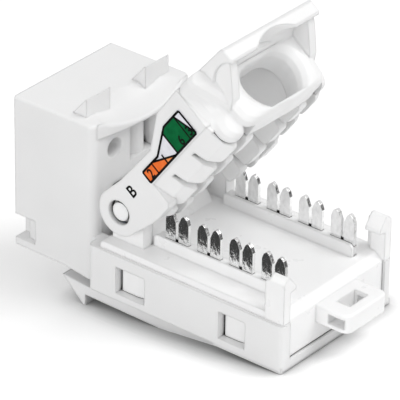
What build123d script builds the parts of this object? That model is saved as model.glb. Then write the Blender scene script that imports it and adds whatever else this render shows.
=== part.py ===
from build123d import *
import math
import os

# Toolless keystone jack. X is across, Y runs from the port to the cable end, Z is up.
# The origin is the middle of the port face. All lengths in mm.

# nose
nose_w = 14.5
nose_h = 16.3
nose_d = 9.9
nose_top = nose_h / 2
nose_low = -nose_h / 2
nose_kink_y = 6.2
nose_round = 0.8
catch_in = 2.6
catch_out = 6.05
catch_y0 = 6.35
catch_y1 = 8.05
catch_rise = 1.85
scoop_half = 5.9
scoop_dip = 1.1
scoop_y0 = 6.0
brow_half = 6.7
brow_y = 0.9
brow_z = 1.5
brow_round = 0.3
rear_hole_x = 4.16
rear_hole_z = 4.83
rear_hole_r = 1.0
pocket_half = 1.85
pocket_z0 = 2.45
pocket_z1 = 6.05
pocket_depth = 1.7
pocket_core_r = 1.4

# port
port_half = 5.9
port_floor = -5.3
port_ceiling = 1.5
port_depth = 9.0
step1_half = 3.1
step1_z = 2.9
step2_half = 1.8
step2_z = 4.3
step2_depth = 7.0
insert_floor = -7.4
insert_y0 = 1.3
notch_y1 = 2.5
notch_mid = 1.25
notch_z0 = -7.35
notch_z1 = -4.75
notch_step_x = 6.6

# rear base
base_half = 8.4
base_y0 = 10.2
base_y1 = 33.8
base_wall = 1.2
base_top = -3.75
base_low = -8.65
base_heel_low = -8.9
base_heel_y = 25.6
base_floor = -7.75
base_front_wall = 1.0
base_round = 0.55
window_z0 = -7.9
window_z1 = -5.0
windows = ((13.65, 17.2), (26.2, 29.35))

# latch arm below the base
latch_half = nose_w / 2 - 0.15
latch_tip_y = nose_kink_y - 0.3
latch_tip_z = -9.34
latch_top = -9.6
latch_low = -10.6
barb_y = latch_tip_y + 2.85
barb_low = -11.8
latch_root_y = 24.3
latch_bend_y = latch_root_y - 3.8
latch_heel_y = latch_root_y + 3.3

# carrier
fit = 0.05
rail_half = base_half - 0.3
rail_top = -2.95
carrier_y0 = 11.5
carrier_y1 = base_y1 - 0.25
skirt_half = base_half - base_wall - fit
skirt_wall = 0.9
skirt_low = -7.6
idc_x = base_half - 3.15
ridge_in = idc_x - 0.55
ridge_out = idc_x + 0.4
ridge_top = -1.65
ridge_y0 = 16.1
ridge_y1 = 31.7
snap_out = base_half - 0.78
snap_slit = 0.24
post_out = base_half - 0.25
post_in = post_out - 0.95
post_y0 = base_y1 - 1.85
post_y1 = base_y1 - 0.1
post_rib_in = post_out - 0.6
post_rib_y0 = post_y0 - 0.5
post_top = 1.05
hook_in = post_in - 0.8
hook_tip = -0.1
hook_low = -0.6
loop_half = 3.1
loop_y1 = base_y1 + 3.55
loop_low = -5.75
loop_hole_half = 1.4
loop_hole_y0 = base_y1 + 0.85
loop_hole_y1 = base_y1 + 2.4
loop_slot_y0 = base_y1 + 1.2
loop_slot_y1 = base_y1 + 3.05
loop_bar = 0.5
loop_round = 0.22
ramp_half = 4.5
ramp_y0 = nose_d + 0.1
ramp_crest_y = 12.45
ramp_foot_y = 15.05
ramp_top = 1.0

# hinge
pivot_y = 13.88
pivot_z = 0.93
arm_out = base_half - 0.2
arm_in = arm_out - 1.22
ear_out = arm_in - 0.13
ear_in = ear_out - 1.35
ear_y0 = 12.0
ear_y1 = 15.8
ear_r = 1.9
pin_r = 1.2
pin_tip_r = 0.95
pin_fit = 0.08
pin_x = arm_out - 0.7
pin_tip_x = arm_out - 0.25

# displacement contacts
idc_y0 = 18.72
idc_pitch = 3.85
idc_count = 4
idc_thick = 0.4
idc_half = 1.38
idc_tip = 1.33
idc_slot_half = 0.17
idc_slot_low = -3.1
idc_root = -4.3
idc_tail_half = 0.35
idc_tail_low = -7.0
idc_fit = 0.03

# circuit board
board_half = skirt_half - skirt_wall - 0.15
board_y0 = 12.55
board_y1 = 32.2
board_z0 = -6.1
board_z1 = -5.1

# spring contacts in the port
wire_pitch = 1.02
wire_count = 8
wire_w = 0.46
wire_t = 0.36
wire_slot_fit = 0.06
wire_front = 2.1
wire_floor = -6.0
wire_tip_y = 7.6
wire_tip_z = -3.3
tail_z = board_z1 + wire_t / 2
riser_y0 = 7.2
riser_top = -1.6

# lid, in the frame of its own pivot: a runs along the arm, b is up when closed
open_angle = 53.3
arm_low = -0.6
arm_heel = -3.2
arm_eye_r = 2.45
comb_low = -3.45
comb_outer_in = idc_x + 0.55
comb_outer_out = arm_out - 0.05
comb_inner_out = idc_x - 0.7
comb_inner_in = comb_inner_out - 1.15
comb_inner_a0 = 2.1
comb_a0 = 3.0
comb_a1 = 16.4
comb_r = 0.5
comb_blade_top = 0.75
comb_cheek_low = -2.6
comb_cheek_out = arm_out - 0.95
slot_top = -1.3
slot_throat = 0.5
slot_mouth = 1.05
channel_a1 = 17.95
roof_low = 0.85
roof_high = 2.7
block_a0 = 16.3
block_a1 = 19.3
collar_low = -3.2
collar_high = 4.0
cable_half = 3.2
cable_low = -2.45
cable_high = 1.9
thumb_half = 6.5
thumb_a1 = block_a1 + 3.6
thumb_b0 = 2.0
thumb_b1 = 3.7
thumb_arch_half = 3.4
thumb_arch_b = 3.05
web_out = 6.2
web_t = 1.0
label_t = 0.08

side_plane = Plane(origin=(0, 0, 0), x_dir=(0, 1, 0), z_dir=(1, 0, 0))
open_rad = math.radians(open_angle)
arm_dir = (0, math.cos(open_rad), math.sin(open_rad))
lid_plane = Plane(origin=(0, pivot_y, pivot_z), x_dir=arm_dir, z_dir=(1, 0, 0))
idc_ys = [idc_y0 + idc_pitch * k for k in range(idc_count)]
idc_as = [y - pivot_y for y in idc_ys]
wire_xs = [wire_pitch * (k - (wire_count - 1) / 2) for k in range(wire_count)]



def end_plane(a):
    """Plane across the lid at distance a from the pivot, its y along b, facing back to the pivot."""
    origin = (0, pivot_y + a * arm_dir[1], pivot_z + a * arm_dir[2])
    return Plane(origin=origin, x_dir=(1, 0, 0), z_dir=(0, -arm_dir[1], -arm_dir[2]))


os.makedirs("parts", exist_ok=True)


with BuildPart() as housing:
    with BuildSketch(side_plane):
        with BuildLine():
            Polyline(
                (0, nose_low),
                (0, nose_top),
                (nose_d, nose_top),
                (nose_d, base_low),
                (nose_kink_y, nose_low),
                close=True,
            )
        make_face()
    extrude(amount=nose_w / 2, both=True)
    nose_edges = housing.edges().filter_by(Axis.Z).group_by(Axis.Y)[-1]
    fillet(nose_edges, nose_round)
    fillet(housing.edges().filter_by(Axis.Y).group_by(Axis.Z)[-1], 0.3)
    # brow over the rear face
    with BuildSketch(Plane.XY.offset(nose_top - brow_z)):
        with BuildLine():
            ThreePointArc((-brow_half, nose_d), (0, nose_d + brow_y), (brow_half, nose_d))
            Line((-brow_half, nose_d), (brow_half, nose_d))
        make_face()
    extrude(amount=brow_z)
    # shallow scoop in the top, deepening smoothly to the rear
    scoop_r = (scoop_half**2 - scoop_dip**2) / (2 * scoop_dip)
    scoop_end = nose_d + brow_y + 1
    with BuildSketch(side_plane):
        with BuildLine():
            Spline(
                (scoop_y0, nose_top + 0.05 * scoop_dip),
                (scoop_y0 + 0.7, nose_top - 0.03 * scoop_dip),
                (scoop_y0 + 1.4, nose_top - 0.3 * scoop_dip),
                (scoop_y0 + 2.3, nose_top - 0.74 * scoop_dip),
                (scoop_y0 + 3.3, nose_top - 0.95 * scoop_dip),
                (scoop_end, nose_top - scoop_dip),
            )
            Line((scoop_end, nose_top - scoop_dip), (scoop_end, nose_top + scoop_r))
            Line((scoop_end, nose_top + scoop_r), (scoop_y0, nose_top + scoop_r))
            Line((scoop_y0, nose_top + scoop_r), (scoop_y0, nose_top + 0.05 * scoop_dip))
        make_face()
    revolve(axis=Axis((0, 0, nose_top + scoop_r), (0, 1, 0)), mode=Mode.SUBTRACT)
    brow_edges = housing.edges().filter_by(GeomType.LINE, reverse=True).sort_by(Axis.Y)[-2:]
    fillet(brow_edges.sort_by(Axis.Z)[-1], brow_round)
    # neck and base shell
    with BuildSketch(Plane.XY.offset(base_low)):
        with Locations((0, (nose_d - 1.5 + base_y0 + 0.8) / 2)):
            Rectangle(nose_w - 0.4, base_y0 + 0.8 - nose_d + 1.5)
    extrude(amount=base_top - base_low)
    with BuildSketch(Plane.XY.offset(base_low)) as base_plan:
        with Locations((0, (base_y0 + base_y1) / 2)):
            Rectangle(2 * base_half, base_y1 - base_y0)
        fillet(base_plan.vertices(), base_round)
    extrude(amount=base_top - base_low)
    with BuildSketch(Plane.XY.offset(base_heel_low)):
        with Locations((0, (base_heel_y + base_y1 - 0.1) / 2)):
            Rectangle(2 * base_half - 0.1, base_y1 - 0.1 - base_heel_y)
    extrude(amount=0.6)
    with BuildSketch(Plane.XY.offset(base_floor)):
        with Locations((0, (base_y0 + base_front_wall + base_y1 + 1) / 2)):
            Rectangle(2 * (base_half - base_wall), base_y1 + 1 - base_y0 - base_front_wall)
    extrude(amount=base_top - base_floor + 1, mode=Mode.SUBTRACT)
    # latch arm with its barb
    with BuildSketch(side_plane):
        with BuildLine():
            Polyline(
                (latch_tip_y, latch_tip_z),
                (barb_y - 0.3, barb_low),
                (barb_y, barb_low),
                (barb_y, latch_low),
                (latch_bend_y, latch_low - 0.15),
                (latch_root_y + 0.7, (latch_low + base_heel_low) / 2 - 0.3),
                (latch_heel_y, base_heel_low),
                (latch_heel_y, base_low + 0.3),
                (latch_root_y, base_low + 0.3),
                (latch_root_y, latch_top),
                (barb_y + 0.35, latch_top),
                close=True,
            )
        make_face()
    extrude(amount=latch_half, both=True)
    # catches on top
    for side in (1, -1):
        with BuildSketch(side_plane.offset(side * (catch_in + catch_out) / 2)):
            with BuildLine():
                Polyline(
                    (catch_y0, nose_top - 0.2),
                    (catch_y0, nose_top),
                    (catch_y1 - 0.15, nose_top + catch_rise),
                    (catch_y1, nose_top + catch_rise),
                    (catch_y1, nose_top - 1.4),
                    close=True,
                )
            make_face()
        extrude(amount=(catch_out - catch_in) / 2, both=True)
    # port cavity with its clip steps
    port_steps = (
        (port_half, port_floor, port_ceiling, port_depth),
        (step1_half, port_ceiling - 0.1, step1_z, step2_depth),
        (step2_half, step1_z - 0.1, step2_z, step2_depth),
    )
    for half, z0, z1, depth in port_steps:
        with BuildSketch(Plane.XY.offset(z0)):
            with Locations((0, depth / 2)):
                Rectangle(2 * half, depth)
        extrude(amount=z1 - z0, mode=Mode.SUBTRACT)
    with BuildSketch(Plane.XY.offset(insert_floor)):
        with Locations((0, (insert_y0 + port_depth) / 2)):
            Rectangle(2 * port_half, port_depth - insert_y0)
    extrude(amount=port_floor - insert_floor + 0.1, mode=Mode.SUBTRACT)
    # opening through the rear of the nose into the base, filled by the contact insert
    with BuildSketch(Plane.XY.offset(insert_floor)):
        with Locations((0, (port_depth - 0.5 + nose_d) / 2)):
            Rectangle(2 * port_half, nose_d - port_depth + 0.5)
    extrude(amount=riser_top + fit - insert_floor, mode=Mode.SUBTRACT)
    with BuildSketch(Plane.XY.offset(insert_floor)):
        with Locations((0, (nose_d - 0.1 + base_y0 + 1.5) / 2)):
            Rectangle(2 * port_half, base_y0 + 1.5 - nose_d + 0.1)
    extrude(amount=base_top - insert_floor + 0.1, mode=Mode.SUBTRACT)
    # round sink holes and the pocket on the rear face
    with BuildSketch(Plane(origin=(0, nose_d, 0), x_dir=(-1, 0, 0), z_dir=(0, 1, 0))):
        with Locations((rear_hole_x, rear_hole_z), (-rear_hole_x, rear_hole_z)):
            Circle(rear_hole_r)
        with Locations((0, (pocket_z0 + pocket_z1) / 2)):
            Rectangle(2 * pocket_half, pocket_z1 - pocket_z0)
    extrude(amount=-pocket_depth, mode=Mode.SUBTRACT)
    with BuildSketch(Plane.XY.offset(pocket_z0)):
        with Locations((0, nose_d - pocket_depth)):
            Circle(pocket_core_r)
    extrude(amount=pocket_z1 - pocket_z0)
    # front notch in both side walls
    for side in (1, -1):
        with BuildSketch(side_plane.offset(side * (nose_w / 2 + port_half) / 2)):
            with Locations((notch_mid / 2, (notch_z0 + notch_z1) / 2)):
                Rectangle(notch_mid, notch_z1 - notch_z0)
        extrude(amount=0.8, both=True, mode=Mode.SUBTRACT)
        with BuildSketch(side_plane.offset(side * (notch_step_x + 1))):
            with Locations((notch_y1 / 2, (notch_z0 + notch_z1) / 2)):
                Rectangle(notch_y1, notch_z1 - notch_z0)
        extrude(amount=1, both=True, mode=Mode.SUBTRACT)
    # snap windows
    for y0, y1 in windows:
        with BuildSketch(side_plane):
            with Locations(((y0 + y1) / 2, (window_z0 + window_z1) / 2)):
                Rectangle(y1 - y0, window_z1 - window_z0)
        extrude(amount=base_half + 1, both=True, mode=Mode.SUBTRACT)
housing.part.label = "housing"
export_step(housing.part, "parts/housing.step")


with BuildPart() as tie_loop:
    with BuildSketch(Plane.XY.offset(loop_low)) as loop_plan:
        with Locations((0, (carrier_y1 - 0.5 + loop_y1) / 2)):
            Rectangle(2 * loop_half, loop_y1 - carrier_y1 + 0.5)
        fillet(loop_plan.vertices().group_by(Axis.Y)[-1], 0.9)
    extrude(amount=base_top - loop_low)
    fillet(tie_loop.edges().group_by(Axis.Z)[-1] + tie_loop.edges().group_by(Axis.Z)[0], loop_round)
    with BuildSketch(Plane.XY.offset(loop_low - 1)):
        with Locations((0, (loop_hole_y0 + loop_hole_y1) / 2)):
            Rectangle(2 * loop_hole_half, loop_hole_y1 - loop_hole_y0)
    extrude(amount=base_top - loop_low + 2, mode=Mode.SUBTRACT)
    with BuildSketch(side_plane):
        with Locations(((loop_slot_y0 + loop_slot_y1) / 2, (base_top + loop_low) / 2)):
            Rectangle(loop_slot_y1 - loop_slot_y0, base_top - loop_low - 2 * loop_bar)
    extrude(amount=loop_half + 1, both=True, mode=Mode.SUBTRACT)


with BuildPart() as carrier:
    # tray deck, wider than the skirts so that it rests on the base walls
    with BuildSketch(side_plane):
        with BuildLine():
            Polyline(
                (carrier_y0, base_top),
                (carrier_y0, rail_top - 0.3),
                (carrier_y0 + 0.3, rail_top),
                (carrier_y1 - 0.9, rail_top),
                (carrier_y1, base_top + 0.05),
                (carrier_y1, base_top),
                close=True,
            )
        make_face()
    extrude(amount=rail_half, both=True)
    with BuildSketch(Plane.XY.offset(skirt_low)):
        with Locations((0, (carrier_y0 + 0.1 + carrier_y1) / 2)):
            Rectangle(2 * skirt_half, carrier_y1 - carrier_y0 - 0.1)
    extrude(amount=base_top - skirt_low)
    with BuildSketch(Plane.XY.offset(skirt_low)):
        with Locations((0, (carrier_y0 + carrier_y1 - skirt_wall) / 2)):
            Rectangle(2 * (skirt_half - skirt_wall), carrier_y1 - skirt_wall - carrier_y0)
    extrude(amount=base_top - 0.25 - skirt_low, mode=Mode.SUBTRACT)
    # snap wedges in the base windows
    for side in (1, -1):
        for y0, y1 in windows:
            with BuildSketch(Plane.XY.offset(window_z0 + fit)):
                with BuildLine():
                    Polyline(
                        (side * (skirt_half - 0.3), y0 + snap_slit),
                        (side * snap_out, y0 + snap_slit),
                        (side * snap_out, (y0 + y1) / 2 + 0.3),
                        (side * (snap_out - 0.25), y1 - fit),
                        (side * (skirt_half - 0.3), y1 - fit),
                        close=True,
                    )
                make_face()
            extrude(amount=window_z1 - window_z0 - 2 * fit)
    # ramp between the nose and the tray
    with BuildSketch(side_plane):
        with BuildLine():
            Polyline(
                (ramp_y0, base_top + 0.15),
                (ramp_y0, ramp_top - 0.2),
                (ramp_y0 + 0.2, ramp_top),
                (ramp_crest_y, ramp_top),
                (ramp_foot_y, rail_top - 0.05),
                (ramp_foot_y, rail_top - 0.3),
                (carrier_y0 + 0.2, base_top + 0.15),
                close=True,
            )
        make_face()
    extrude(amount=ramp_half, both=True)
    # contact ridges
    for side in (1, -1):
        with BuildSketch(side_plane.offset(side * (ridge_in + ridge_out) / 2)):
            with BuildLine():
                Polyline(
                    (ridge_y0, rail_top - 0.2),
                    (ridge_y0, ridge_top - 0.3),
                    (ridge_y0 + 0.3, ridge_top),
                    (ridge_y1 - 0.3, ridge_top),
                    (ridge_y1, ridge_top - 0.3),
                    (ridge_y1, rail_top - 0.2),
                    close=True,
                )
            make_face()
        extrude(amount=(ridge_out - ridge_in) / 2, both=True)
    # slots for the contacts
    for side in (1, -1):
        with BuildSketch(side_plane.offset(side * idc_x)):
            with Locations(*[(y, (idc_root + 1) / 2) for y in idc_ys]):
                Rectangle(2 * (idc_half + idc_fit), 1 - idc_root)
            with Locations(*[(y, idc_root - 2) for y in idc_ys]):
                Rectangle(2 * (idc_tail_half + idc_fit), 6)
        extrude(amount=idc_thick / 2 + idc_fit, both=True, mode=Mode.SUBTRACT)
    # hinge ears and trunnions
    for side in (1, -1):
        with BuildSketch(side_plane.offset(side * (ear_in + ear_out) / 2)):
            with Locations((pivot_y, pivot_z)):
                Circle(ear_r)
            with Locations(((ear_y0 + ear_y1) / 2, (pivot_z + rail_top - 0.2) / 2)):
                Rectangle(ear_y1 - ear_y0, pivot_z - rail_top + 0.2)
        extrude(amount=(ear_out - ear_in) / 2, both=True)
        with BuildSketch(side_plane.offset(side * (ear_out - 0.3))):
            with Locations((pivot_y, pivot_z)):
                Circle(pin_r)
        extrude(amount=side * (pin_x - ear_out + 0.3))
        with BuildSketch(side_plane.offset(side * (ear_out - 0.3))):
            with Locations((pivot_y, pivot_z)):
                Circle(pin_tip_r)
        extrude(amount=side * (pin_tip_x - ear_out + 0.3))
    # hooked posts
    for side in (1, -1):
        post_face = Plane(origin=(0, post_y0, 0), x_dir=(1, 0, 0), z_dir=(0, -1, 0))
        with BuildSketch(post_face):
            with BuildLine():
                Polyline(
                    (side * post_in, base_top),
                    (side * post_in, hook_low),
                    (side * hook_in, hook_low + 0.1),
                    (side * hook_in, hook_tip),
                    (side * (post_in + 0.1), post_top),
                    (side * (post_out - 0.45), post_top),
                    (side * post_out, post_top - 0.5),
                    (side * post_out, base_top),
                    close=True,
                )
            make_face()
        extrude(amount=-(post_y1 - post_y0))
    # rib in front of each post
    for side in (1, -1):
        with BuildSketch(side_plane.offset(side * (post_rib_in + post_out) / 2)):
            with BuildLine():
                Polyline(
                    (post_rib_y0, base_top),
                    (post_rib_y0, post_top - 0.8),
                    (post_rib_y0 + 0.25, post_top - 0.5),
                    (post_y0 + 0.3, post_top - 0.5),
                    (post_y0 + 0.3, base_top),
                    close=True,
                )
            make_face()
        extrude(amount=(post_out - post_rib_in) / 2, both=True)
    # cable tie loop
    add(tie_loop.part)
carrier.part.label = "carrier"
export_step(carrier.part, "parts/carrier.step")


row = 0
for side in (1, -1):
    for y in idc_ys:
        row += 1
        with BuildPart() as contact:
            with BuildSketch(side_plane.offset(side * idc_x)):
                with BuildLine():
                    Polyline(
                        (y - idc_half, idc_root),
                        (y - idc_half, idc_tip - 0.8),
                        (y - idc_half + 0.2, idc_tip - 0.25),
                        (y - 0.88, idc_tip),
                        (y - 0.7, idc_tip),
                        (y - 0.5, idc_tip - 0.2),
                        (y - idc_slot_half, idc_tip - 1.0),
                        (y - idc_slot_half, idc_slot_low),
                        (y + idc_slot_half, idc_slot_low),
                        (y + idc_slot_half, idc_tip - 1.0),
                        (y + 0.5, idc_tip - 0.2),
                        (y + 0.7, idc_tip),
                        (y + 0.88, idc_tip),
                        (y + idc_half - 0.2, idc_tip - 0.25),
                        (y + idc_half, idc_tip - 0.8),
                        (y + idc_half, idc_root),
                        (y + idc_tail_half, idc_root),
                        (y + idc_tail_half, idc_tail_low + 0.3),
                        (y + idc_tail_half - 0.15, idc_tail_low),
                        (y - idc_tail_half + 0.15, idc_tail_low),
                        (y - idc_tail_half, idc_tail_low + 0.3),
                        (y - idc_tail_half, idc_root),
                        close=True,
                    )
                make_face()
            extrude(amount=idc_thick / 2, both=True)
        contact.part.label = f"idc_contact_{row}"
        export_step(contact.part, f"parts/idc_contact_{row}.step")


with BuildPart() as circuit_board:
    with BuildSketch(Plane.XY.offset(board_z0)):
        with Locations((0, (board_y0 + board_y1) / 2)):
            Rectangle(2 * board_half, board_y1 - board_y0)
        with Locations(*[(side * idc_x, y) for side in (1, -1) for y in idc_ys]):
            Rectangle(idc_thick + 2 * idc_fit, 2 * (idc_tail_half + idc_fit), mode=Mode.SUBTRACT)
    extrude(amount=board_z1 - board_z0)
circuit_board.part.label = "circuit_board"
export_step(circuit_board.part, "parts/circuit_board.step")


with BuildPart() as contact_insert:
    with BuildSketch(side_plane):
        with BuildLine():
            Polyline(
                (insert_y0 + fit, insert_floor + fit),
                (insert_y0 + fit, port_floor),
                (riser_y0, port_floor),
                (port_depth - 0.7, riser_top),
                (nose_d - 0.1, riser_top),
                (nose_d - 0.1, tail_z + 0.35),
                (board_y0 - fit, tail_z + 0.35),
                (board_y0 - fit, insert_floor + fit),
                close=True,
            )
        make_face()
    extrude(amount=port_half - fit, both=True)
    # one groove for each spring contact
    for x in wire_xs:
        with BuildSketch(side_plane.offset(x)):
            with BuildLine():
                Polyline(
                    (wire_front - 0.4, wire_floor - 0.25),
                    (wire_front - 0.4, riser_top + 1),
                    (port_depth, riser_top + 1),
                    (port_depth, tail_z + 0.22),
                    (nose_d, tail_z + 0.22),
                    (nose_d, tail_z + 1),
                    (board_y0, tail_z + 1),
                    (board_y0, wire_floor - 0.25),
                    close=True,
                )
            make_face()
        extrude(amount=wire_w / 2 + wire_slot_fit, both=True, mode=Mode.SUBTRACT)
contact_insert.part.label = "contact_insert"
export_step(contact_insert.part, "parts/contact_insert.step")


wire_path = (
    (board_y0 + 1.1, tail_z),
    (riser_y0 + 1.9, tail_z),
    (riser_y0 + 1.0, wire_floor),
    (wire_front + 0.5, wire_floor),
    (wire_front + 0.05, wire_floor + 0.3),
    (wire_front + 0.05, wire_floor + 0.75),
    (wire_front + 0.5, wire_floor + 1.1),
    (wire_tip_y - 0.4, wire_tip_z),
    (wire_tip_y, wire_tip_z + 0.05),
)
for number, x in enumerate(wire_xs, start=1):
    with BuildPart() as spring:
        with BuildSketch(side_plane.offset(x)):
            with BuildLine():
                Polyline(*wire_path)
            trace(line_width=wire_t)
        extrude(amount=wire_w / 2, both=True)
    spring.part.label = f"jack_contact_{number}"
    export_step(spring.part, f"parts/jack_contact_{number}.step")


# collar sections from front to rear: distance from the pivot, then half outlines as shares of
# the arm's outer face and of the collar's depth below or height above the arm's line
collar_sections = (
    (
        block_a0 - 0.05,
        (0, -1), (0.32, -1), (0.63, -0.97), (0.84, -0.89), (0.9, -0.69), (0.915, -0.31), (0.96, 0.03),
        (0.985, 0.3), (0.985, 0.63), (0.97, 0.88), (0.88, 0.985), (0.49, 0.99), (0, 0.99),
    ),
    (
        block_a0 + 0.7,
        (0, -1), (0.32, -1), (0.63, -0.97), (0.84, -0.89), (0.896, -0.69), (0.89, -0.31), (0.866, 0.05),
        (0.872, 0.3), (0.955, 0.63), (0.985, 0.87), (0.9, 1.02), (0.49, 1.03), (0, 1.03),
    ),
    (
        block_a0 + 1.2,
        (0, -1), (0.32, -0.985), (0.61, -0.95), (0.79, -0.875), (0.844, -0.69), (0.838, -0.31), (0.82, 0.05),
        (0.85, 0.3), (0.935, 0.6), (0.985, 0.87), (0.91, 1.035), (0.49, 1.04), (0, 1.03),
    ),
    (
        block_a1 - 1.3,
        (0, -0.985), (0.32, -0.97), (0.56, -0.94), (0.683, -0.85), (0.733, -0.66), (0.739, -0.375), (0.78, 0.03),
        (0.855, 0.3), (0.94, 0.6), (0.985, 0.85), (0.91, 1.02), (0.49, 1.02), (0, 1.01),
    ),
    (
        block_a1 - 0.7,
        (0, -0.97), (0.305, -0.955), (0.55, -0.92), (0.683, -0.81), (0.726, -0.625), (0.738, -0.34), (0.78, 0.03),
        (0.85, 0.3), (0.925, 0.575), (0.97, 0.8), (0.9, 0.95), (0.463, 0.96), (0, 0.96),
    ),
    (
        block_a1 - 0.25,
        (0, -0.94), (0.293, -0.92), (0.512, -0.875), (0.622, -0.765), (0.67, -0.594), (0.683, -0.34), (0.72, 0.0),
        (0.78, 0.25), (0.84, 0.475), (0.875, 0.675), (0.815, 0.825), (0.463, 0.85), (0, 0.85),
    ),
    (
        block_a1,
        (0, -0.89), (0.268, -0.875), (0.45, -0.81), (0.537, -0.69), (0.58, -0.53), (0.59, -0.31), (0.61, -0.02),
        (0.646, 0.2), (0.695, 0.4), (0.707, 0.55), (0.66, 0.675), (0.415, 0.7), (0, 0.7),
    ),
)
cable_half_outline = ((0.62, -1), (0.86, -0.66), (1, -0.2), (0.97, 0.45), (0.7, 0.93))
# cable opening from its throat to its trumpet mouth: place, then shares of width, depth and height
cable_sections = (
    (block_a0 - 0.6, 1, 1, 1),
    (block_a1 - 1.9, 1, 1, 1),
    (block_a1 - 1.0, 1.03, 1, 1),
    (block_a1 - 0.45, 1.12, 1.03, 1.05),
    (block_a1 - 0.1, 1.3, 1.06, 1.15),
    (block_a1 + 0.15, 1.6, 1.1, 1.35),
)


with BuildPart() as thumb_bar:
    with BuildSketch(lid_plane):
        with BuildLine():
            Polyline(
                (block_a1 - 0.5, thumb_b0 - 0.4),
                (block_a1 - 1.8, thumb_b0 - 0.1),
                (block_a1 - 1.8, collar_high - 0.05),
                (thumb_a1 - 0.4, thumb_b1),
                (thumb_a1, thumb_b1 - 0.35),
                (thumb_a1, thumb_b0 + 0.2),
                (thumb_a1 - 0.3, thumb_b0),
            )
            ThreePointArc(
                (thumb_a1 - 0.3, thumb_b0),
                ((thumb_a1 + block_a1) / 2 - 0.4, thumb_b0 + 0.75),
                (block_a1 - 0.5, thumb_b0 - 0.4),
            )
        make_face()
    extrude(amount=thumb_half, both=True)
    for side in (0, -1):
        end_face = thumb_bar.faces().sort_by(Axis.X)[side]
        tip_edges = end_face.edges().filter_by(GeomType.LINE).sort_by(Axis.Y)[-2:]
        fillet(tip_edges, 0.25)
    with BuildSketch(end_plane(thumb_a1 + 0.1)):
        with BuildLine():
            ThreePointArc(
                (-thumb_arch_half, thumb_b0 - 0.4),
                (0, thumb_arch_b),
                (thumb_arch_half, thumb_b0 - 0.4),
            )
            Line((-thumb_arch_half, thumb_b0 - 0.4), (thumb_arch_half, thumb_b0 - 0.4))
        make_face()
    extrude(amount=thumb_a1 - block_a1 - 0.5, mode=Mode.SUBTRACT)


with BuildPart() as collar:
    for a, *half in collar_sections:
        right = [(x * arm_out, b * collar_high if b > 0 else -b * collar_low) for x, b in half]
        left = [(-x, b) for x, b in right[-2:0:-1]]
        with BuildSketch(end_plane(a)):
            with BuildLine():
                Spline(*right, *left, periodic=True)
            make_face()
    loft(ruled=True)
    # flush with the cap's back
    with BuildSketch(lid_plane):
        with Locations((block_a0 + 1.5, collar_high + 0.9)):
            Rectangle(5, 2)
    extrude(amount=arm_out, both=True, mode=Mode.SUBTRACT)


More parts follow.
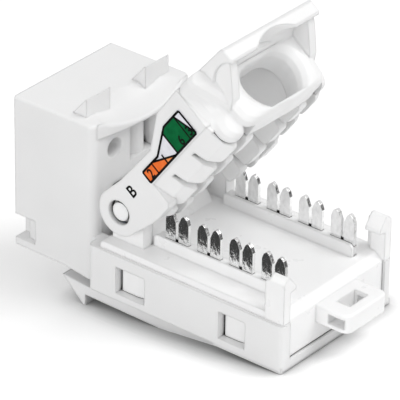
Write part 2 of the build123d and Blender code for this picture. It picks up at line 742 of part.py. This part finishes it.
with BuildPart() as lid:
    # combs of teeth on both sides of each row of contacts
    comb_rows = (
        (comb_a0, comb_outer_in, comb_outer_out),
        (comb_inner_a0, comb_inner_in, comb_inner_out),
    )
    for side in (1, -1):
        for a0, x0, x1 in comb_rows:
            with BuildSketch(lid_plane.offset(side * (x0 + x1) / 2)) as comb:
                with BuildLine():
                    Polyline(
                        (a0, comb_low),
                        (a0, 1.95),
                        (8.7, 1.8),
                        (12.5, 3.65),
                        (comb_a1, 3.8),
                        (comb_a1, comb_low),
                        close=True,
                    )
                make_face()
                for a in idc_as:
                    with BuildLine():
                        Polyline(
                            (a - slot_throat / 2, slot_top),
                            (a - slot_throat / 2, slot_top - 0.6),
                            (a - slot_mouth / 2, comb_low - 0.5),
                            (a + slot_mouth / 2, comb_low - 0.5),
                            (a + slot_throat / 2, slot_top - 0.6),
                            (a + slot_throat / 2, slot_top),
                            close=True,
                        )
                    make_face(mode=Mode.SUBTRACT)
                fillet(comb.vertices().group_by(Axis.Y)[0], comb_r)
            extrude(amount=(x1 - x0) / 2, both=True)
        # the outer teeth narrow towards their tips
        with BuildSketch(end_plane(comb_a0 - 1)):
            with BuildLine():
                Polyline(
                    (side * comb_outer_out, arm_low + 0.1),
                    (side * comb_cheek_out, comb_cheek_low),
                    (side * (comb_outer_in + 0.35), comb_low),
                    (side * (comb_outer_in + 0.35), comb_low - 1),
                    (side * (arm_out + 1), comb_low - 1),
                    (side * (arm_out + 1), arm_low + 0.1),
                    close=True,
                )
            make_face()
        extrude(amount=-(comb_a1 - comb_a0 + 2), mode=Mode.SUBTRACT)
    # roof between the arms
    with BuildSketch(lid_plane):
        with BuildLine():
            Polyline(
                (comb_inner_a0, 1.95),
                (8.7, 1.8),
                (12.5, 3.65),
                (block_a0 + 0.5, 3.85),
                (block_a0 + 0.5, roof_high),
                (12.1, roof_high),
                (8.3, roof_low),
                (comb_inner_a0, roof_low + 0.1),
                close=True,
            )
        make_face()
    extrude(amount=arm_in + 0.1, both=True)
    # solid webs above the contact blades
    for side in (1, -1):
        with BuildSketch(lid_plane.offset(side * (comb_inner_in + comb_outer_in + 0.5) / 2)):
            with BuildLine():
                Polyline(
                    (comb_inner_a0, comb_blade_top),
                    (comb_inner_a0, 1.95),
                    (8.7, 1.8),
                    (12.5, 3.65),
                    (comb_a1, 3.8),
                    (comb_a1, comb_blade_top),
                    close=True,
                )
            make_face()
        extrude(amount=(comb_outer_in + 0.5 - comb_inner_in) / 2, both=True)
    # collar around the cable and thumb bar
    add(collar.part)
    add(thumb_bar.part)
    # blade channels, cable passage and cable opening
    for side in (1, -1):
        with BuildSketch(lid_plane.offset(side * (comb_inner_out + comb_outer_in) / 2)):
            with Locations(((channel_a1 + 1) / 2, (comb_blade_top - 4) / 2)):
                Rectangle(channel_a1 - 1, comb_blade_top + 4)
        extrude(amount=(comb_outer_in - comb_inner_out) / 2, both=True, mode=Mode.SUBTRACT)
    for a, wide, deep, high in cable_sections:
        right = [
            (x * wide * cable_half, b * high * cable_high if b > 0 else -b * deep * cable_low)
            for x, b in cable_half_outline
        ]
        left = [(-x, b) for x, b in reversed(right)]
        with BuildSketch(end_plane(a)):
            with BuildLine():
                Spline(*right, (0, high * cable_high), *left)
                Line(left[-1], right[0])
            make_face()
    loft(ruled=True, mode=Mode.SUBTRACT)
    # webs that carry the thumb bar's ends
    for side in (1, -1):
        with BuildSketch(lid_plane.offset(side * (web_out - web_t / 2))):
            with BuildLine():
                Polyline(
                    (block_a1 - 1.0, -0.8),
                    (block_a1 + 0.1, -0.3),
                    (block_a1 + 1.0, 0.5),
                    (thumb_a1 - 1.4, 1.6),
                    (thumb_a1 - 0.8, thumb_b0 + 0.3),
                    (thumb_a1 - 0.8, thumb_b1 - 0.7),
                    (block_a1 - 1.0, thumb_b1 - 0.7),
                    close=True,
                )
            make_face()
        extrude(amount=web_t / 2, both=True)
    # side arms with their eyes
    for side in (1, -1):
        with BuildSketch(lid_plane.offset(side * (arm_in + arm_out) / 2)):
            with BuildLine():
                Polyline(
                    (0, arm_eye_r),
                    (3.0, 2.0),
                    (8.7, 1.8),
                    (12.5, 3.7),
                    (block_a0 + 0.2, 3.85),
                    (block_a0 + 0.2, arm_low),
                    (6.2, arm_low),
                    (6.2, arm_heel + 0.35),
                    (5.8, arm_heel),
                    (3.5, arm_heel),
                    (1.5, -arm_eye_r - 0.38),
                    (0, -arm_eye_r),
                    close=True,
                )
            make_face()
            Circle(arm_eye_r)
            Circle(pin_r + pin_fit, mode=Mode.SUBTRACT)
        extrude(amount=(arm_out - arm_in) / 2, both=True)
lid.part.label = "lid"
export_step(lid.part, "parts/lid.step")


for name, side in (("scheme_label_b", 1), ("scheme_label_a", -1)):
    with BuildPart() as label:
        with BuildSketch(lid_plane.offset(side * arm_out)):
            with BuildLine():
                Polyline(
                    (6.14, 0.98),
                    (6.07, -0.42),
                    (15.26, -0.39),
                    (15.21, 2.44),
                    (12.13, 2.43),
                    (11.56, 2.06),
                    (9.04, 0.95),
                    close=True,
                )
            make_face()
        extrude(amount=side * label_t)
    label.part.label = name
    export_step(label.part, f"parts/{name}.step")
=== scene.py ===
"""Looks, light and camera for the toolless keystone jack, in metres and in the frame of its solids."""

import math

import bpy
from mathutils import Matrix, Vector


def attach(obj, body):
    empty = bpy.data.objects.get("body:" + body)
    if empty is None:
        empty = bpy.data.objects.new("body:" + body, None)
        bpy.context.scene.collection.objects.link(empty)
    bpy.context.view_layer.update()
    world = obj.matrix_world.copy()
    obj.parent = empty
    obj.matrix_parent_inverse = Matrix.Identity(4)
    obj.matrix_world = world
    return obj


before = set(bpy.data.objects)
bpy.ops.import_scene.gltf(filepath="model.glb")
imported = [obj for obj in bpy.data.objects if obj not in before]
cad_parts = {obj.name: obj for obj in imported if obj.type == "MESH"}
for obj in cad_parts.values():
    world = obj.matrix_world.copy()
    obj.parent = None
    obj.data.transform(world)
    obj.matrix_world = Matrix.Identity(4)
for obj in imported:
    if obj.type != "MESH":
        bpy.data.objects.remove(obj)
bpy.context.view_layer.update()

MM = 0.001
# the lid's hinge and how far the lid stands open
PIVOT_Y, PIVOT_Z = 13.88, 0.93
OPEN = math.radians(53.3)


def on_lid(x, a, b):
    """A point given in the lid's own millimetres: a along the arm, b up when the lid is closed."""
    c, s = math.cos(OPEN), math.sin(OPEN)
    return Vector((x, PIVOT_Y + a * c - b * s, PIVOT_Z + a * s + b * c)) * MM


# materials

EDGE_SAMPLES, GAP_SAMPLES = 6, 16
# most of a noise pattern lies between these values
NOISE_LOW, NOISE_HIGH = 0.3, 0.7
NOISE_ROUGHNESS = 0.55
# ink, lacquer and card change over within this narrower span, which gives clearer patches
PATCH_START, PATCH_END = 0.35, 0.65
# how near something has to be to count in a gap, and the open share at which the painted shade is dark and is
# clear: painted shade in narrow gaps of the plastic, a painted contact shadow on the floor
PLASTIC_SHADE_REACH, PLASTIC_SHADE_DARK, PLASTIC_SHADE_CLEAR = 0.0008, 0.2, 0.4
FLOOR_SHADOW_REACH, FLOOR_SHADOW_DARK, FLOOR_SHADOW_CLEAR = 0.003, -0.1, 0.95
# colour of the painted shade at its darkest
PAINTED_SHADE_BLACK = (0.02, 0.02, 0.02, 1)
PLASTIC_IOR = 1.5
METAL_EDGE = 0.00006
DULL_SPECULAR = 0.1


def grey(level):
    return (level, level, level)


def new_material(name):
    mat = bpy.data.materials.new(name)
    mat.use_nodes = True
    tree = mat.node_tree
    return mat, tree, tree.nodes["Principled BSDF"]


def link_noise(tree, scale, detail):
    """Noise laid out in the object's own metres."""
    coords = tree.nodes.new("ShaderNodeTexCoord")
    noise = tree.nodes.new("ShaderNodeTexNoise")
    noise.inputs["Scale"].default_value = scale
    noise.inputs["Detail"].default_value = detail
    noise.inputs["Roughness"].default_value = NOISE_ROUGHNESS
    tree.links.new(coords.outputs["Object"], noise.inputs["Vector"])
    return noise


def noise_colour(tree, noise, dark, light, start, end):
    """A colour that runs from dark to light while the noise runs from start to end."""
    ramp = tree.nodes.new("ShaderNodeValToRGB")
    for element, place, colour in zip(ramp.color_ramp.elements, (start, end), (dark, light)):
        element.position = place
        element.color = (*colour, 1)
    tree.links.new(noise.outputs["Fac"], ramp.inputs["Fac"])
    return ramp.outputs["Color"]


def rough_by(tree, noise, shader, smooth, rough):
    """A gloss that varies with the noise between two roughnesses."""
    span = tree.nodes.new("ShaderNodeMapRange")
    span.inputs["From Min"].default_value = NOISE_LOW
    span.inputs["From Max"].default_value = NOISE_HIGH
    span.inputs["To Min"].default_value = smooth
    span.inputs["To Max"].default_value = rough
    tree.links.new(noise.outputs["Fac"], span.inputs["Value"])
    tree.links.new(span.outputs["Result"], shader.inputs["Roughness"])


def bump_by(tree, noise, shader, strength, distance, edge=0.0):
    """A fine relief; where an edge radius is given, sharp edges are shaded as if rounded by it."""
    bump = tree.nodes.new("ShaderNodeBump")
    bump.inputs["Strength"].default_value = strength
    bump.inputs["Distance"].default_value = distance
    tree.links.new(noise.outputs["Fac"], bump.inputs["Height"])
    if edge:
        soft = tree.nodes.new("ShaderNodeBevel")
        soft.samples = EDGE_SAMPLES
        soft.inputs["Radius"].default_value = edge
        tree.links.new(soft.outputs["Normal"], bump.inputs["Normal"])
    tree.links.new(bump.outputs["Normal"], shader.inputs["Normal"])


def open_share(tree, reach, dark, clear):
    """How open a surface point is within reach, from 0 at the dark share to 1 at the clear share; the mask of
    the painted shade.
    """
    near = tree.nodes.new("ShaderNodeAmbientOcclusion")
    near.samples = GAP_SAMPLES
    near.inputs["Distance"].default_value = reach
    share = tree.nodes.new("ShaderNodeMapRange")
    share.inputs["From Min"].default_value = dark
    share.inputs["From Max"].default_value = clear
    tree.links.new(near.outputs["AO"], share.inputs["Value"])
    return share.outputs["Result"]


def painted_shade(tree, share, colour):
    """Painted shade: the colour where the share is 1, near black where it is 0."""
    shade = tree.nodes.new("ShaderNodeMix")
    shade.data_type = "RGBA"
    shade.inputs["A"].default_value = PAINTED_SHADE_BLACK
    tree.links.new(share, shade.inputs["Factor"])
    tree.links.new(colour, shade.inputs["B"])
    return shade.outputs["Result"]


def moulded_plastic(name, dark, light, smooth, rough, edge):
    """Moulded plastic: faint flow in colour and gloss, a fine texture, softened edges, painted shade in
    narrow gaps.
    """
    mat, tree, shader = new_material(name)
    flow = link_noise(tree, scale=90.0, detail=2.0)
    colour = noise_colour(tree, flow, grey(dark), grey(light), NOISE_LOW, NOISE_HIGH)
    # painted shade: the colour is taken towards near black in narrow gaps
    share = open_share(tree, PLASTIC_SHADE_REACH, PLASTIC_SHADE_DARK, PLASTIC_SHADE_CLEAR)
    tree.links.new(painted_shade(tree, share, colour), shader.inputs["Base Color"])
    rough_by(tree, link_noise(tree, scale=420.0, detail=3.0), shader, smooth, rough)
    texture = link_noise(tree, scale=5200.0, detail=2.0)
    bump_by(tree, texture, shader, strength=0.12, distance=0.00001, edge=edge)
    shader.inputs["Subsurface Weight"].default_value = 0.08
    shader.inputs["Subsurface Radius"].default_value = (1.0, 0.95, 0.9)
    shader.inputs["Subsurface Scale"].default_value = 0.0008
    shader.inputs["IOR"].default_value = PLASTIC_IOR
    return mat


def plated_metal(name, dark, light, smooth, rough, grain_scale):
    """Plated strip, uneven in colour, gloss and relief, its grain stretched by a scale for each direction."""
    mat, tree, shader = new_material(name)
    shader.inputs["Metallic"].default_value = 1.0
    coords = tree.nodes.new("ShaderNodeTexCoord")
    stretch = tree.nodes.new("ShaderNodeMapping")
    stretch.inputs["Scale"].default_value = grain_scale
    grain = tree.nodes.new("ShaderNodeTexNoise")
    grain.inputs["Scale"].default_value = 1.0
    grain.inputs["Detail"].default_value = 4.0
    tree.links.new(coords.outputs["Object"], stretch.inputs["Vector"])
    tree.links.new(stretch.outputs["Vector"], grain.inputs["Vector"])
    colour = noise_colour(tree, grain, dark, light, NOISE_LOW, NOISE_HIGH)
    tree.links.new(colour, shader.inputs["Base Color"])
    rough_by(tree, grain, shader, smooth, rough)
    bump_by(tree, grain, shader, strength=0.9, distance=0.00006, edge=METAL_EDGE)
    return mat


def printed(name, dark, light):
    """Printed ink: slightly uneven cover, satin."""
    mat, tree, shader = new_material(name)
    cover = link_noise(tree, scale=1500.0, detail=3.0)
    colour = noise_colour(tree, cover, dark, light, PATCH_START, PATCH_END)
    tree.links.new(colour, shader.inputs["Base Color"])
    rough_by(tree, link_noise(tree, scale=3000.0, detail=2.0), shader, smooth=0.38, rough=0.5)
    bump_by(tree, link_noise(tree, scale=9000.0, detail=2.0), shader, strength=0.1, distance=0.000004)
    shader.inputs["Specular IOR Level"].default_value = DULL_SPECULAR
    return mat


def solder_mask(name):
    """Green lacquer of a circuit board."""
    mat, tree, shader = new_material(name)
    cover = link_noise(tree, scale=300.0, detail=4.0)
    colour = noise_colour(tree, cover, (0.008, 0.06, 0.025), (0.012, 0.1, 0.04), PATCH_START, PATCH_END)
    tree.links.new(colour, shader.inputs["Base Color"])
    rough_by(tree, link_noise(tree, scale=1200.0, detail=2.0), shader, smooth=0.3, rough=0.45)
    bump_by(tree, link_noise(tree, scale=2500.0, detail=2.0), shader, strength=0.2, distance=0.00001)
    return mat


WHITE = moulded_plastic("white_plastic", 0.81, 0.85, smooth=0.3, rough=0.42, edge=0.00028)
# the carrier gets a lighter copy of the white plastic: painted light, standing in for the light that reaches
# its deck under the lid
WHITE_TRAY_BRIGHTENED = moulded_plastic("white_plastic_tray_brightened", 0.9, 0.94, smooth=0.26, rough=0.38, edge=0.0003)
WHITE_LID = moulded_plastic("white_plastic_lid", 0.82, 0.86, smooth=0.28, rough=0.4, edge=0.0003)
TIN_GRAIN, GOLD_GRAIN = (2600, 2600, 1500), (3000, 400, 400)
TIN = plated_metal(
    "tinned_metal", grey(0.8), grey(0.95), smooth=0.06, rough=0.16, grain_scale=TIN_GRAIN,
)
GOLD = plated_metal(
    "gold_plate", (0.72, 0.48, 0.16), (0.86, 0.62, 0.26), smooth=0.12, rough=0.25, grain_scale=GOLD_GRAIN,
)
BOARD = solder_mask("solder_mask")
ORANGE = printed("orange_ink", (0.8, 0.15, 0.025), (0.88, 0.19, 0.04))
PALE_ORANGE = printed("pale_orange_ink", (0.8, 0.26, 0.08), (0.88, 0.32, 0.11))
GREEN = printed("green_ink", (0.0, 0.1, 0.03), (0.001, 0.14, 0.04))
PALE_GREEN = printed("pale_green_ink", (0.1, 0.36, 0.16), (0.14, 0.42, 0.2))
PAPER = printed("label_white", (0.7, 0.7, 0.75), (0.78, 0.78, 0.83))
BLACK = printed("black_ink", grey(0.006), grey(0.012))

by_node = {
    "housing": WHITE,
    "carrier": WHITE_TRAY_BRIGHTENED,
    "contact_insert": WHITE,
    "lid": WHITE_LID,
    "circuit_board": BOARD,
    "scheme_label_a": PAPER,
    "scheme_label_b": PAPER,
}
for name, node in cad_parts.items():
    if name.startswith("idc_contact"):
        mat = TIN
    elif name.startswith("jack_contact"):
        mat = GOLD
    else:
        mat = by_node[name]
    node.data.materials.clear()
    node.data.materials.append(mat)


# printed labels, in the lid's millimetres: each layer of ink lies on the one before it

INK = 0.012
LABEL_FACE = 8.28
ARM_FACE = 8.2
GLYPH_WEIGHT = 0.02
# a line's corner runs out to at most half the line's width divided by this
MITRE_LIMIT = 0.5


def add_print(name, mesh, mat):
    """Put a printed mesh on the lid."""
    mesh.materials.clear()
    mesh.materials.append(mat)
    mesh.update()
    obj = bpy.data.objects.new(name, mesh)
    bpy.context.scene.collection.objects.link(obj)
    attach(obj, "cap")


def slab(name, outline, mat, side):
    """A printed field of the given outline, lying on the label of that side."""
    near, far = side * LABEL_FACE, side * (LABEL_FACE + INK)
    verts = [on_lid(near, a, b) for a, b in outline] + [on_lid(far, a, b) for a, b in outline]
    n = len(outline)
    faces = [list(range(n)), list(range(2 * n - 1, n - 1, -1))]
    faces += [[i, (i + 1) % n, n + (i + 1) % n, n + i] for i in range(n)]
    mesh = bpy.data.meshes.new(name)
    mesh.from_pydata(verts, [], faces)
    add_print(name, mesh, mat)


def line(name, points, width, side, closed=False):
    """A printed line along points, on top of the fields, as one strip of quads with mitred corners."""
    count = len(points)
    pts = [Vector(p) for p in points]
    offsets = []
    for i, p in enumerate(pts):
        before = pts[i - 1] if closed or i else None
        after = pts[(i + 1) % count] if closed or i < count - 1 else None
        normals = []
        if before is not None:
            d = (p - before).normalized()
            normals.append(Vector((-d.y, d.x)))
        if after is not None:
            d = (after - p).normalized()
            normals.append(Vector((-d.y, d.x)))
        n = sum(normals, Vector((0, 0))).normalized()
        offsets.append(n * (width / 2 / max(MITRE_LIMIT, n.dot(normals[0]))))
    verts, faces = [], []
    for p, o in zip(pts, offsets):
        for q in (p - o, p + o):
            verts.append(on_lid(side * (LABEL_FACE + INK), q.x, q.y))
            verts.append(on_lid(side * (LABEL_FACE + 2 * INK), q.x, q.y))
    last = count if closed else count - 1
    for i in range(last):
        a, b = 4 * i, 4 * ((i + 1) % count)
        faces += [[a + 1, b + 1, b + 3, a + 3], [a, a + 2, b + 2, b]]
        faces += [[a, b, b + 1, a + 1], [a + 2, a + 3, b + 3, b + 2]]
    if not closed:
        e = 4 * (count - 1)
        faces += [[0, 1, 3, 2], [e, e + 2, e + 3, e + 1]]
    mesh = bpy.data.meshes.new(name)
    mesh.from_pydata(verts, [], faces)
    add_print(name, mesh, BLACK)


def glyph(name, text, centre, height, side, x_face):
    """One printed character, standing upright on the arm when the lid is closed."""
    curve = bpy.data.curves.new(name + "_curve", "FONT")
    curve.body = text
    curve.size = 1.0
    curve.align_x = "CENTER"
    curve.align_y = "CENTER"
    curve.offset = GLYPH_WEIGHT
    curve.extrude = 0.01
    curve.resolution_u = 6
    source = bpy.data.objects.new(name + "_source", curve)
    bpy.context.scene.collection.objects.link(source)
    bpy.context.view_layer.update()
    mesh = bpy.data.meshes.new_from_object(source.evaluated_get(bpy.context.evaluated_depsgraph_get()))
    bpy.data.objects.remove(source)
    xs = [v.co.x for v in mesh.vertices]
    ys = [v.co.y for v in mesh.vertices]
    mid_x, mid_y = (min(xs) + max(xs)) / 2, (min(ys) + max(ys)) / 2
    scale = height / (max(ys) - min(ys))
    for v in mesh.vertices:
        a = centre[0] + side * (v.co.x - mid_x) * scale
        b = centre[1] + (v.co.y - mid_y) * scale
        v.co = on_lid(side * (x_face + (INK if v.co.z > 0 else 0.0)), a, b)
    add_print(name, mesh, BLACK)


# the label's lower and upper edges, and where each field ends along the arm
FOOT, ROOF = -0.32, 2.35
FIRST_END, STRIPE_END, PALE_END = 7.88, 9.71, 11.3
SOLID_START, SOLID_END = 11.57, 14.1
# heights of the fields' other corners
FIRST_TOP, STRIPE_TOP = 0.9, 0.31

start_corners = [(6.3, 0.91), (6.2, 0.82), (6.18, -0.22), (6.28, FOOT)]
end_corners = [(15.08, -0.31), (15.17, -0.2), (15.11, 2.24), (14.98, ROOF)]
border = start_corners + end_corners + [(12.25, ROOF), (9.1, 0.88)]
first_field = start_corners + [(FIRST_END, FOOT), (FIRST_END, FIRST_TOP)]
stripe_field = [
    (FIRST_END, FIRST_TOP), (FIRST_END, FOOT), (STRIPE_END, FOOT), (STRIPE_END, STRIPE_TOP), (8.1, 0.89),
]
pale_field = [(STRIPE_END, STRIPE_TOP), (STRIPE_END, FOOT), (PALE_END, FOOT)]
solid_field = [(SOLID_START, 2.03), (SOLID_START, FOOT), (SOLID_END, FOOT), (SOLID_END, ROOF), (12.25, ROOF)]
end_field = [(SOLID_END, ROOF), (SOLID_END, -0.31), (15.08, -0.31), (15.16, -0.2), (15.15, -0.12)]

BORDER_WIDTH = 0.23
# each line's two ends and its width
lines = (
    ((8.07, 0.9), (PALE_END, -0.34), 0.2),
    ((FIRST_END, FIRST_TOP), (FIRST_END, FOOT), 0.17),
    ((SOLID_START, 2.0), (SOLID_START, FOOT), 0.2),
    ((SOLID_END, 2.34), (15.14, -0.2), 0.19),
    ((SOLID_END, 2.3), (SOLID_END, FOOT), 0.16),
)
# each digit's middle, its height and how many layers of ink lie below it
digits = (
    ("2", (6.99, 0.27), 1.0, 1),
    ("1", (9.7, 0.22), 1.0, 2),
    ("6", (13.0, 0.3), 1.02, 1),
    ("3", (14.64, 0.36), 1.02, 2),
)
LETTER_MIDDLE, LETTER_HEIGHT = (3.3, 0.5), 1.22

for side, letter, low, pale, high in (
    (1, "b", ORANGE, PALE_ORANGE, GREEN),
    (-1, "a", GREEN, PALE_GREEN, ORANGE),
):
    outlines = (first_field, stripe_field, pale_field, solid_field, end_field)
    for number, (outline, mat) in enumerate(zip(outlines, (low, low, pale, high, high)), start=1):
        slab(f"label_{letter}_field_{number}", outline, mat, side)
    line(f"label_{letter}_border", border, BORDER_WIDTH, side, closed=True)
    for number, (start, end, width) in enumerate(lines, start=1):
        line(f"label_{letter}_line_{number}", [start, end], width, side)
    for digit, middle, height, layers in digits:
        glyph(f"label_{letter}_digit_{digit}", digit, middle, height, side, LABEL_FACE + layers * INK)
    glyph(f"letter_{letter}", letter.upper(), LETTER_MIDDLE, LETTER_HEIGHT, side, ARM_FACE)


# floor and background: the part stands on the heel of its base and on its latch arm, so the floor is tilted

LATCH_Y, LATCH_Z = 8.5, -11.8
HEEL_Y, HEEL_Z = 33.7, -8.9
TILT = math.atan2(HEEL_Z - LATCH_Z, HEEL_Y - LATCH_Y)
FLOOR_TURN = Matrix.Rotation(TILT, 3, "X")
FLOOR_SIZE = 6.0
FLOOR_GLOW = 0.24
CARD_LIFT = 0.2


def floor_height(y):
    """Height of the floor, in metres, at a place y in metres."""
    return (LATCH_Z + (y / MM - LATCH_Y) * math.tan(TILT)) * MM


def quad(name, size_x, size_y, centre, turn, mat):
    """A flat rectangle that belongs to the stage and not to the part."""
    mesh = bpy.data.meshes.new(name)
    hx, hy = size_x / 2, size_y / 2
    mesh.from_pydata([(-hx, -hy, 0), (hx, -hy, 0), (hx, hy, 0), (-hx, hy, 0)], [], [(0, 1, 2, 3)])
    mesh.update()
    mesh.materials.append(mat)
    obj = bpy.data.objects.new(name, mesh)
    bpy.context.scene.collection.objects.link(obj)
    obj.matrix_world = Matrix.Translation(centre) @ turn.to_4x4()
    return obj


def seen_rays(tree):
    """1 for camera, glossy and transmission rays, which see the pale background, and 0 for the others."""
    path = tree.nodes.new("ShaderNodeLightPath")
    value = path.outputs["Is Camera Ray"]
    for ray in ("Is Glossy Ray", "Is Transmission Ray"):
        larger = tree.nodes.new("ShaderNodeMath")
        larger.operation = "MAXIMUM"
        tree.links.new(value, larger.inputs[0])
        tree.links.new(path.outputs[ray], larger.inputs[1])
        value = larger.outputs["Value"]
    return value


def floor_material():
    """Pale floor that takes the shadow, with a painted contact shadow that darkens its colour and its glow
    near the part; seen rays get a little glow with it, which brings it up to white.
    """
    mat, tree, shader = new_material("floor_pale")
    tree.nodes.remove(shader)
    clouds = link_noise(tree, scale=30.0, detail=2.0)
    colour = noise_colour(tree, clouds, grey(0.86), grey(0.9), 0.0, 1.0)
    # painted contact shadow: near the part the floor's colour and glow are taken towards near black
    share = open_share(tree, FLOOR_SHADOW_REACH, FLOOR_SHADOW_DARK, FLOOR_SHADOW_CLEAR)
    diffuse = tree.nodes.new("ShaderNodeBsdfDiffuse")
    tree.links.new(painted_shade(tree, share, colour), diffuse.inputs["Color"])
    level = tree.nodes.new("ShaderNodeMath")
    level.operation = "MULTIPLY"
    level.inputs[1].default_value = FLOOR_GLOW
    tree.links.new(share, level.inputs[0])
    glow = tree.nodes.new("ShaderNodeEmission")
    tree.links.new(level.outputs["Value"], glow.inputs["Strength"])
    both = tree.nodes.new("ShaderNodeAddShader")
    tree.links.new(diffuse.outputs["BSDF"], both.inputs[0])
    tree.links.new(glow.outputs["Emission"], both.inputs[1])
    choose = tree.nodes.new("ShaderNodeMixShader")
    tree.links.new(seen_rays(tree), choose.inputs["Fac"])
    tree.links.new(diffuse.outputs["BSDF"], choose.inputs[1])
    tree.links.new(both.outputs["Shader"], choose.inputs[2])
    tree.links.new(choose.outputs["Shader"], tree.nodes["Material Output"].inputs["Surface"])
    return mat


def card_material():
    """Matt, nearly black card."""
    mat, tree, shader = new_material("card_dark")
    clouds = link_noise(tree, scale=260.0, detail=3.0)
    colour = noise_colour(tree, clouds, grey(0.004), grey(0.06), PATCH_START, PATCH_END)
    tree.links.new(colour, shader.inputs["Base Color"])
    shader.inputs["Specular IOR Level"].default_value = DULL_SPECULAR
    return mat


quad("floor", FLOOR_SIZE, FLOOR_SIZE, Vector((0, 0, floor_height(0.0))), FLOOR_TURN, floor_material())

# dark cards that lie just above the floor, beside and behind the part, and are seen only in reflections
CARD = card_material()
for name, size_x, size_y, x, y in (
    ("card_side", 0.3, 0.5, 0.1595, 0.0),
    ("card_rear", 0.4, 0.3, -0.1905, 0.19),
):
    card = quad(name, size_x, size_y, (x, y, floor_height(y) + CARD_LIFT * MM), FLOOR_TURN, CARD)
    card.visible_camera = False
    card.visible_diffuse = False
    card.visible_transmission = False
    card.visible_shadow = False


# light

WORLD_LIGHT = 0.6
BACKDROP_STRENGTH = 1.0

world = bpy.data.worlds.new("studio")
bpy.context.scene.world = world
world.use_nodes = True
sky = world.node_tree
light = sky.nodes["Background"]
light.inputs["Color"].default_value = (1, 1, 1, 1)
light.inputs["Strength"].default_value = WORLD_LIGHT
backdrop = sky.nodes.new("ShaderNodeBackground")
backdrop.inputs["Strength"].default_value = BACKDROP_STRENGTH
pick = sky.nodes.new("ShaderNodeMixShader")
sky.links.new(seen_rays(sky), pick.inputs["Fac"])
sky.links.new(light.outputs["Background"], pick.inputs[1])
sky.links.new(backdrop.outputs["Background"], pick.inputs[2])
sky.links.new(pick.outputs["Shader"], sky.nodes["World Output"].inputs["Surface"])


def softbox(name, place, aim, size, watts):
    """A square lamp at a place, facing a point of the part."""
    lamp = bpy.data.lights.new(name, "AREA")
    lamp.shape = "SQUARE"
    lamp.size = size
    lamp.energy = watts
    obj = bpy.data.objects.new(name, lamp)
    bpy.context.scene.collection.objects.link(obj)
    obj.location = place
    obj.rotation_euler = (Vector(aim) - Vector(place)).to_track_quat("-Z", "Y").to_euler()


softbox("key", (0.05, 0.2, 0.16), aim=(0, 0.02, 0), size=0.15, watts=0.06)
softbox("top", (-0.2, 0.32, 0.6), aim=(0, 0.02, 0), size=0.35, watts=2.0)
softbox("fill", (0.65, 0.05, 0.12), aim=(0, 0.015, 0), size=0.4, watts=1.42)


# camera: its place, and the directions to the picture's right, to its top and back towards the viewer

CAMERA_PLACE = (0.26513, 0.23058, 0.1963)
CAMERA_RIGHT = (-0.632709, 0.774291, 0.012312)
CAMERA_UP = (-0.380229, -0.324474, 0.866107)
CAMERA_BACK = (0.674614, 0.543313, 0.499706)
CAMERA_LENS, CAMERA_SENSOR = 371.87, 36.0

camera = bpy.data.cameras.new("camera")
camera.lens = CAMERA_LENS
camera.sensor_width = CAMERA_SENSOR
camera.clip_start = 0.02
camera.clip_end = 20.0
camera_object = bpy.data.objects.new("camera", camera)
bpy.context.scene.collection.objects.link(camera_object)
turn = Matrix((CAMERA_RIGHT, CAMERA_UP, CAMERA_BACK)).transposed().to_4x4()
camera_object.matrix_world = Matrix.Translation(CAMERA_PLACE) @ turn
bpy.context.scene.camera = camera_object

bpy.context.scene.view_settings.view_transform = "Standard"
